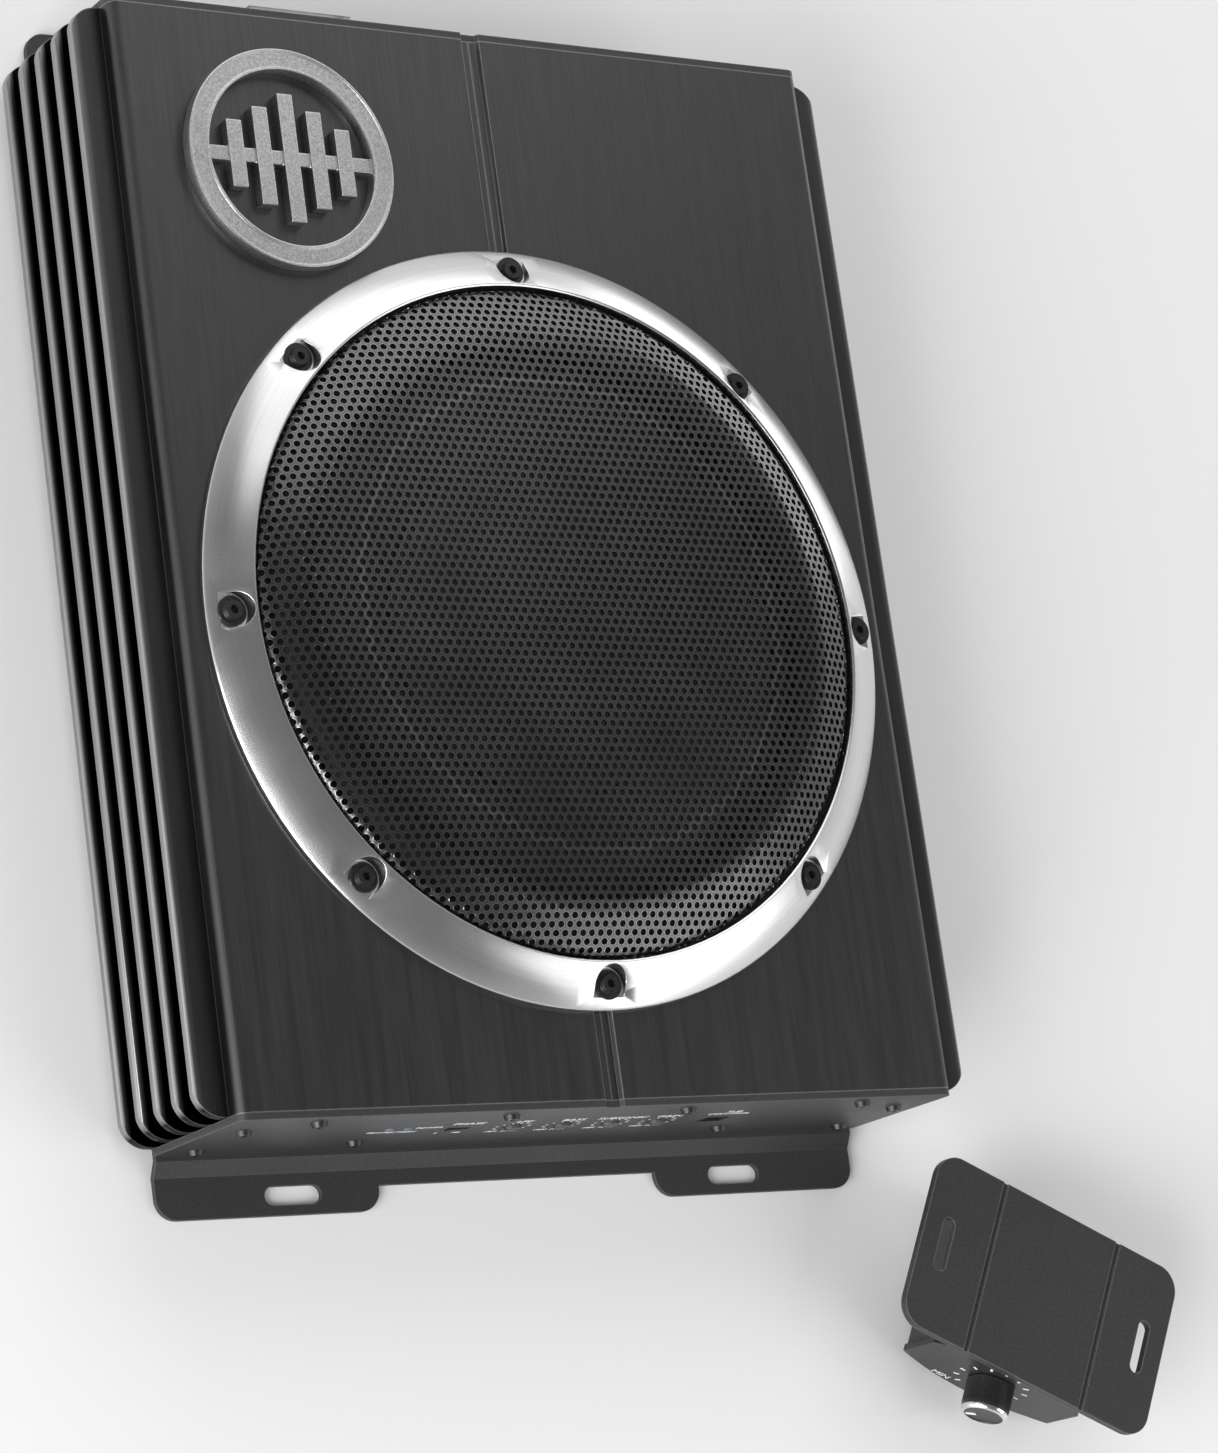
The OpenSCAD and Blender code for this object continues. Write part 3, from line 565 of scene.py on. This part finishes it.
pot_names = {"LPF": "lowpass_pot", "BASS": "bass_boost_pot", "SUBSONIC": "subsonic_pot", "GAIN": "gain_pot"}
for label, node_name in pot_names.items():
    low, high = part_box(node_name)
    x, z = (low.x + high.x) / 2, (low.z + high.z) / 2
    word(label, 0.0042, white_print, "case", on_control_panel, (x, z + 0.0085),
         f"legend_{node_name}")
    dots = [bar(x + 0.0062 * math.cos(math.radians(a)), z + 0.0062 * math.sin(math.radians(a)),
                0.0011, 0.0005, a) for a in range(-50, 231, 28)]
    flat_marks(f"scale_{node_name}", dots, on_control_panel, white_print, "case")
    word("MIN  MAX", 0.0027, white_print, "case", on_control_panel, (x, z - 0.0078),
         f"legend_range_{node_name}")
slider_low, slider_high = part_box("phase_slider")
word("PHASE", 0.0042, white_print, "case", on_control_panel,
     (slider_low.x + 0.004, (slider_low.z + slider_high.z) / 2 + 0.0085), "legend_phase")
word("0        180", 0.0024, white_print, "case", on_control_panel,
     (slider_low.x + 0.004, (slider_low.z + slider_high.z) / 2 - 0.0068), "legend_phase_range")
jack_low, jack_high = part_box("remote_jack")
word("SUB\nCONTROL", 0.0036, white_print, "case", on_control_panel,
     ((jack_low.x + jack_high.x) / 2, jack_high.z + 0.0065), "legend_remote_jack")
lamp_low, lamp_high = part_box("indicator_lenses")
word("POWER", 0.003, white_print, "case", on_control_panel,
     (lamp_high.x + 0.0062, lamp_high.z - 0.0006), "legend_power")
word("PROTECTION", 0.003, white_print, "case", on_control_panel,
     ((lamp_low.x + lamp_high.x) / 2, lamp_low.z - 0.0036), "legend_protection")

# ---------------------------------------------------------------- remote knob and dial
knob_joint = JOINTS["remote_level_turn"]
KNOB = Vector(knob_joint["pos_m"])
OUT = Vector(knob_joint["axis"]).normalized()
RIGHT = Vector((0, 0, 1)).cross(OUT).normalized()
UP = Vector((0, 0, 1))
knob_start = min((Vector(v.co) - KNOB).dot(OUT) for v in NODES["remote_knob"].data.vertices)


def on_remote_front(x, y, out):
    """A point of the remote's front panel, about the knob's axis."""
    return tuple(KNOB + RIGHT * x + UP * y + OUT * out)


MIN_ANGLE = 235.0
dial = [bar(0.0127 * math.cos(math.radians(a)), 0.0127 * math.sin(math.radians(a)), 0.0021, 0.0009, a)
        for a in [MIN_ANGLE - 27 * i for i in range(11)]]
flat_marks("remote_dial", dial, on_remote_front, white_print, "remote_body")
word("MIN", 0.0042, white_print, "remote_body", on_remote_front, (-0.0132, -0.0128),
     "legend_remote_min")
word("MAX", 0.0042, white_print, "remote_body", on_remote_front, (0.0132, -0.0128),
     "legend_remote_max")


def knob():
    """Knurled grip with a polished rim and a shallow top, from a revolved profile; the pointer is printed on
    it afterwards.
    """
    profile = [(8.6, 0.0, 0), (8.6, 0.4, 0), (8.6, 1.0, 1), (8.6, 8.6, 1), (8.5, 9.2, 0), (8.5, 10.4, 0),
               (8.35, 11.1, 0), (7.9, 11.8, 0), (7.4, 12.1, 0), (7.0, 12.0, 0), (6.6, 11.6, 0),
               (3.0, 11.45, 0), (0.01, 11.4, 0)]
    sides = 240
    verts, faces = [], []
    for i in range(sides):
        a = 2 * math.pi * i / sides
        ridge = -0.32 if i % 4 in (0, 1) else 0.0
        for r, z, knurled in profile:
            rr = (r + ridge * knurled) * MM
            verts.append(tuple(KNOB + RIGHT * rr * math.cos(a) + UP * rr * math.sin(a)
                               + OUT * (knob_start + z * MM)))
    n = len(profile)
    for i in range(sides):
        for j in range(n - 1):
            a, b = i * n + j, (i + 1) % sides * n + j
            faces.append((a, b, b + 1, a + 1))
    faces.append(tuple(i * n for i in range(sides)))
    faces.append(tuple(i * n + n - 1 for i in reversed(range(sides))))
    obj = piece("remote_knob_grip", verts, faces, knob_black, "remote_knob", 30)
    obj.data.materials.append(polished.mat)
    for poly in obj.data.polygons:
        out = (poly.center - KNOB).dot(OUT) - knob_start
        radius = ((poly.center - KNOB) - OUT * (poly.center - KNOB).dot(OUT)).length
        if out > 10.4 * MM and radius > 7.0 * MM:
            poly.material_index = 1
    return obj


knob_grip = knob()
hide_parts("remote_knob")
pointer_bar = bar(0.0049 * math.cos(math.radians(MIN_ANGLE)), 0.0049 * math.sin(math.radians(MIN_ANGLE)),
                  0.0040, 0.0013, MIN_ANGLE)
flat_marks("remote_knob_pointer", [pointer_bar],
           lambda x, y, out: on_remote_front(x, y, knob_start + 0.01165 + out * 3), white_print,
           "remote_knob")


# ---------------------------------------------------------------- floor, light and camera
def floor():
    mesh = bpy.data.meshes.new("floor")
    mesh.from_pydata([(-6, -6, 0), (6, -6, 0), (6, 6, 0), (-6, 6, 0)], [], [(0, 1, 2, 3)])
    look = Mat("floor_white", (0.93, 0.93, 0.93), 0.0, 0.22, 0.5)
    look.rough(look.noise((1, 1, 1), 3, 2), 0.18, 0.26)
    mesh.materials.append(look.mat)
    obj = bpy.data.objects.new("floor", mesh)
    obj.location.z = -0.0002
    scene.collection.objects.link(obj)
    obj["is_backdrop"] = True


def area_light(name, at, aim, size, power):
    data = bpy.data.lights.new(name, "AREA")
    data.shape = "RECTANGLE"
    data.size, data.size_y = size
    data.energy = power
    obj = bpy.data.objects.new(name, data)
    obj.location = at
    obj.rotation_euler = (Vector(aim) - Vector(at)).to_track_quat("-Z", "Y").to_euler()
    obj.visible_camera = False
    scene.collection.objects.link(obj)


def studio_world(horizon, zenith):
    """A plain studio: bright all round at the horizon, dimmer overhead."""
    world = bpy.data.worlds.new("studio")
    world.use_nodes = True
    tree = world.node_tree
    split = tree.nodes.new("ShaderNodeSeparateXYZ")
    tree.links.new(tree.nodes.new("ShaderNodeTexCoord").outputs["Generated"], split.inputs["Vector"])
    span = tree.nodes.new("ShaderNodeMapRange")
    span.inputs["From Min"].default_value = 0.0
    span.inputs["From Max"].default_value = 0.7
    span.inputs["To Min"].default_value = horizon
    span.inputs["To Max"].default_value = zenith
    tree.links.new(split.outputs["Z"], span.inputs["Value"])
    tree.nodes["Background"].inputs["Color"].default_value = (1, 1, 1, 1)
    tree.links.new(span.outputs["Result"], tree.nodes["Background"].inputs["Strength"])
    scene.world = world


floor()
studio_world(1.05, 0.18)
area_light("low_box", (1.40, -1.05, 1.32), (0, 0, 0), (1.5, 1.5), 12)
area_light("key", (0.4, 1.7, 1.5), (0, 0, 0), (2.4, 1.8), 18)
area_light("strip", (1.75, 1.15, 0.32), (0, 0, 0.05), (1.2, 0.5), 3.2)
area_light("fill", (-2.2, -1.15, 1.0), (0, 0, 0), (2.0, 1.8), 82)
scene.view_settings.view_transform = "Standard"

# The camera looks down at the case from its lower left, rolled so that the case stands up in the picture
CAMERA_RIGHT = Vector((0.84005889, -0.13143001, 0.52633374))
CAMERA_BACK = Vector((-0.54229924, -0.2295233, 0.80822682)).normalized()
CAMERA_AT = Vector((-0.83254, -0.40639, 1.29865))
LENS = 112.82
SHIFT_X = 0.0405


def add_camera():
    data = bpy.data.cameras.new("camera")
    data.lens = LENS
    data.sensor_width = 36
    data.shift_x = SHIFT_X
    data.clip_start = 0.05
    obj = bpy.data.objects.new("camera", data)
    up = CAMERA_BACK.cross(CAMERA_RIGHT).normalized()
    right = up.cross(CAMERA_BACK).normalized()
    turn = Matrix((right, up, CAMERA_BACK)).transposed()
    obj.matrix_world = Matrix.Translation(CAMERA_AT) @ turn.to_4x4()
    scene.collection.objects.link(obj)
    scene.camera = obj


add_camera()
low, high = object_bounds()
